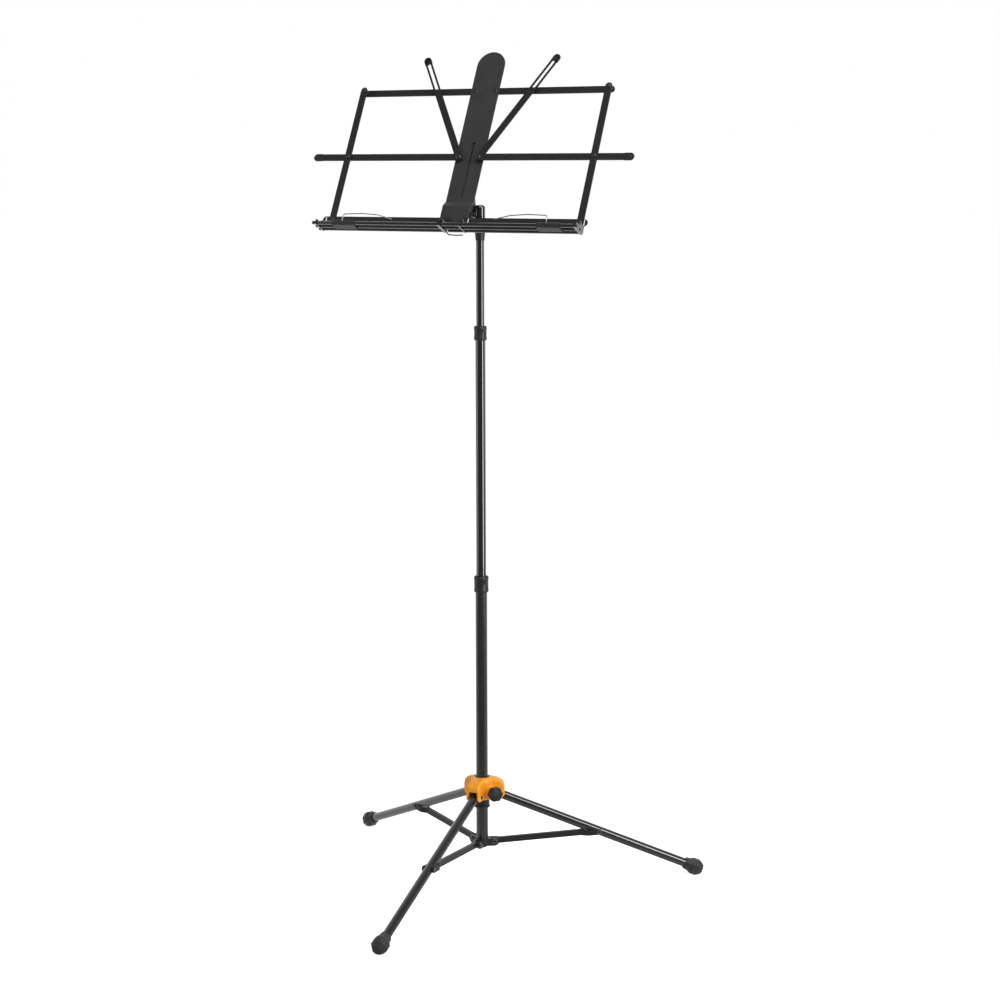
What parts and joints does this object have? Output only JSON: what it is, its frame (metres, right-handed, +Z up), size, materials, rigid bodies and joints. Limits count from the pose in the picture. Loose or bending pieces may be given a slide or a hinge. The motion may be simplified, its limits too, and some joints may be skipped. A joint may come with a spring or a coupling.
{
  "type": "folding music stand",
  "caption": "Folding music stand: round-tube tripod with sliding orange hub, telescoping mast, and a tilting flat-bar desk that folds, with ledge rods and page wires.",
  "frame": {"origin": "on the mast axis at floor level", "axes": "+Z up along the mast; the front of the desk, where the player stands, faces -Y; +X to the player's right when looking at the desk"},
  "size_m": [0.5291, 0.4695, 1.1129],
  "materials": {
    "tube_satin": "satin black paint",
    "tube_gloss": "gloss black paint",
    "leg_black": "satin black powder coat",
    "strut_black": "satin black powder coat",
    "hub_orange": "moulded orange-yellow plastic",
    "black_plastic": "black nylon",
    "knob_plastic": "black grained plastic",
    "head_gloss": "gloss black",
    "black_rubber": "black rubber",
    "bright_steel": "bright plated steel",
    "desk_black": "satin dark grey-black powder coat",
    "rod_black": "semi-gloss black",
    "dark_rivet": "black steel rivets",
    "spring_wire": "bright spring steel"
  },
  "bodies": {
    "base": {"mast_lower_tube": "tube_satin", "bottom_collar": "black_plastic", "lower_lock_collar": "black_plastic", "stop_ring": "black_rubber", "collar_rivets": "bright_steel"},
    "hub": {"leg_hub": "hub_orange", "hub_liner": "black_plastic", "hub_pins": "bright_steel"},
    "hub_clamp": {"hub_knob": "knob_plastic"},
    "middle_mast": {"mast_middle_tube": "tube_gloss", "middle_tube_guide": "black_plastic", "upper_lock_collar": "black_plastic"},
    "upper_mast": {"mast_upper_tube": "tube_gloss", "upper_tube_guide": "black_plastic", "head_socket": "black_plastic"},
    "head": {"mast_head": "head_gloss"},
    "tilt_clamp": {"tilt_knob": "knob_plastic"},
    "spine": {"spine_plate": "desk_black", "spine_bracket": "desk_black", "spine_rivets": "dark_rivet"},
    "leg_1": {"leg_1": "leg_black", "foot_1": "black_rubber", "leg_rivet_1": "bright_steel"},
    "strut_1": {"strut_1": "strut_black"},
    "leg_2": {"leg_2": "leg_black", "foot_2": "black_rubber", "leg_rivet_2": "bright_steel"},
    "strut_2": {"strut_2": "strut_black"},
    "leg_3": {"leg_3": "leg_black", "foot_3": "black_rubber", "leg_rivet_3": "bright_steel"},
    "strut_3": {"strut_3": "strut_black"},
    "left_ledge": {"left_ledge_bar": "desk_black", "left_ledge_rods": "rod_black", "left_ledge_plates": "desk_black", "left_ledge_rivet": "dark_rivet", "left_page_sleeve": "black_rubber"},
    "left_top_bar": {"left_top_bar": "desk_black", "left_top_bar_pins": "dark_rivet"},
    "left_middle_bar": {"left_middle_bar": "desk_black", "left_middle_bar_cap": "black_rubber", "left_cross_rivet": "dark_rivet"},
    "left_side_bar": {"left_side_bar": "desk_black"},
    "left_brace": {"left_brace": "desk_black", "left_brace_tip": "black_rubber"},
    "left_page_wire": {"left_page_wire": "spring_wire"},
    "right_ledge": {"right_ledge_bar": "desk_black", "right_ledge_rods": "rod_black", "right_ledge_plates": "desk_black", "right_ledge_rivet": "dark_rivet", "right_page_sleeve": "black_rubber"},
    "right_top_bar": {"right_top_bar": "desk_black", "right_top_bar_pins": "dark_rivet"},
    "right_middle_bar": {"right_middle_bar": "desk_black", "right_middle_bar_cap": "black_rubber", "right_cross_rivet": "dark_rivet"},
    "right_side_bar": {"right_side_bar": "desk_black"},
    "right_brace": {"right_brace": "desk_black", "right_brace_tip": "black_rubber"},
    "right_page_wire": {"right_page_wire": "spring_wire"}
  },
  "joints": [
    {"name": "hub_slide", "type": "slide", "parent": "base", "child": "hub", "axis": [0, 0, 1], "range_m": [0, 0.22423]},
    {"name": "hub_clamp_turn", "type": "hinge", "parent": "hub", "child": "hub_clamp", "pos_m": [0, 0, 0.128], "axis": [0.8829, -0.4695, 0], "continuous": true},
    {"name": "leg_1_fold", "type": "hinge", "parent": "hub", "child": "leg_1", "pos_m": [0.01781, 0.01113, 0.12227], "axis": [-0.5299, 0.848, 0], "range_deg": [0, 63.6]},
    {"name": "strut_1_fold", "type": "hinge", "parent": "base", "child": "strut_1", "pos_m": [0.01382, 0.00864, 0.056], "axis": [0.5299, -0.848, 0], "range_deg": [0, 80.31]},
    {"name": "leg_2_fold", "type": "hinge", "parent": "hub", "child": "leg_2", "pos_m": [-0.01854, 0.00986, 0.12227], "axis": [-0.4695, -0.8829, 0], "range_deg": [0, 63.6]},
    {"name": "strut_2_fold", "type": "hinge", "parent": "base", "child": "strut_2", "pos_m": [-0.01439, 0.00765, 0.056], "axis": [0.4695, 0.8829, 0], "range_deg": [0, 80.31]},
    {"name": "leg_3_fold", "type": "hinge", "parent": "hub", "child": "leg_3", "pos_m": [0.00073, -0.02099, 0.12227], "axis": [0.9994, 0.0349, 0], "range_deg": [0, 63.6]},
    {"name": "strut_3_fold", "type": "hinge", "parent": "base", "child": "strut_3", "pos_m": [0.00057, -0.01629, 0.056], "axis": [-0.9994, -0.0349, 0], "range_deg": [0, 80.31]},
    {"name": "middle_slide", "type": "slide", "parent": "base", "child": "middle_mast", "axis": [0, 0, 1], "range_m": [-0.24, 0.02]},
    {"name": "upper_slide", "type": "slide", "parent": "middle_mast", "child": "upper_mast", "axis": [0, 0, 1], "range_m": [-0.11, 0.15]},
    {"name": "desk_swivel", "type": "hinge", "parent": "upper_mast", "child": "head", "pos_m": [0, 0, 0.898], "axis": [0, 0, 1], "range_deg": [-175, 175]},
    {"name": "desk_tilt", "type": "hinge", "parent": "head", "child": "spine", "pos_m": [-0.0087, 0, 0.9045], "axis": [-1, 0, 0], "range_deg": [-26, 50]},
    {"name": "tilt_clamp_turn", "type": "hinge", "parent": "head", "child": "tilt_clamp", "pos_m": [-0.016, 0, 0.9045], "axis": [1, 0, 0], "continuous": true},
    {"name": "left_wing_fold", "type": "hinge", "parent": "spine", "child": "left_ledge", "pos_m": [-0.0295, -0.04951, 0.89226], "axis": [0, 0.8942, -0.4478], "range_deg": [0, 90]},
    {"name": "left_top_bar_fold", "type": "hinge", "parent": "spine", "child": "left_top_bar", "pos_m": [-0.0295, 0.04697, 1.06035], "axis": [0, 0.8942, -0.4478], "range_deg": [0, 90.1]},
    {"name": "left_middle_bar_fold", "type": "hinge", "parent": "spine", "child": "left_middle_bar", "pos_m": [-0.0295, -0.00367, 0.97443], "axis": [0, 0.8942, -0.4478], "range_deg": [0, 90.1]},
    {"name": "left_side_bar_fold", "type": "hinge", "parent": "left_ledge", "child": "left_side_bar", "pos_m": [-0.1965, -0.04781, 0.89141], "axis": [0, 0.8942, -0.4478], "range_deg": [-90.1, 0]},
    {"name": "left_brace_fold", "type": "hinge", "parent": "spine", "child": "left_brace", "pos_m": [-0.0295, -0.00197, 0.97358], "axis": [0, 0.8942, -0.4478], "range_deg": [0, 29.47]},
    {"name": "left_page_wire_turn", "type": "hinge", "parent": "left_ledge", "child": "left_page_wire", "pos_m": [-0.164, -0.07599, 0.89098], "axis": [0, -0.8942, 0.4478], "range_deg": [0, 100]},
    {"name": "right_wing_fold", "type": "hinge", "parent": "spine", "child": "right_ledge", "pos_m": [-0.0005, -0.04951, 0.89226], "axis": [0, -0.8942, 0.4478], "range_deg": [0, 90]},
    {"name": "right_top_bar_fold", "type": "hinge", "parent": "spine", "child": "right_top_bar", "pos_m": [-0.0005, 0.04697, 1.06035], "axis": [0, -0.8942, 0.4478], "range_deg": [0, 90.1]},
    {"name": "right_middle_bar_fold", "type": "hinge", "parent": "spine", "child": "right_middle_bar", "pos_m": [-0.0005, -0.00367, 0.97443], "axis": [0, -0.8942, 0.4478], "range_deg": [0, 90.1]},
    {"name": "right_side_bar_fold", "type": "hinge", "parent": "right_ledge", "child": "right_side_bar", "pos_m": [0.1665, -0.04781, 0.89141], "axis": [0, -0.8942, 0.4478], "range_deg": [-90.1, 0]},
    {"name": "right_brace_fold", "type": "hinge", "parent": "spine", "child": "right_brace", "pos_m": [-0.0005, -0.00197, 0.97358], "axis": [0, -0.8942, 0.4478], "range_deg": [0, 29.47]},
    {"name": "right_page_wire_turn", "type": "hinge", "parent": "right_ledge", "child": "right_page_wire", "pos_m": [0.134, -0.07599, 0.89098], "axis": [0, 0.8942, -0.4478], "range_deg": [0, 100]}
  ],
  "couplings": [
    {"joint": "leg_1_fold", "follows": "hub_slide", "rad_per_m": 4.9426},
    {"joint": "strut_1_fold", "follows": "hub_slide", "rad_per_m": 6.2433},
    {"joint": "leg_2_fold", "follows": "hub_slide", "rad_per_m": 4.9426},
    {"joint": "strut_2_fold", "follows": "hub_slide", "rad_per_m": 6.2433},
    {"joint": "leg_3_fold", "follows": "hub_slide", "rad_per_m": 4.9426},
    {"joint": "strut_3_fold", "follows": "hub_slide", "rad_per_m": 6.2433},
    {"joint": "left_top_bar_fold", "follows": "left_wing_fold", "ratio": 1},
    {"joint": "left_middle_bar_fold", "follows": "left_wing_fold", "ratio": 1},
    {"joint": "left_side_bar_fold", "follows": "left_wing_fold", "ratio": -1},
    {"joint": "left_brace_fold", "follows": "left_wing_fold", "ratio": 0.32635},
    {"joint": "right_top_bar_fold", "follows": "right_wing_fold", "ratio": 1},
    {"joint": "right_middle_bar_fold", "follows": "right_wing_fold", "ratio": 1},
    {"joint": "right_side_bar_fold", "follows": "right_wing_fold", "ratio": -1},
    {"joint": "right_brace_fold", "follows": "right_wing_fold", "ratio": 0.32635}
  ]
}
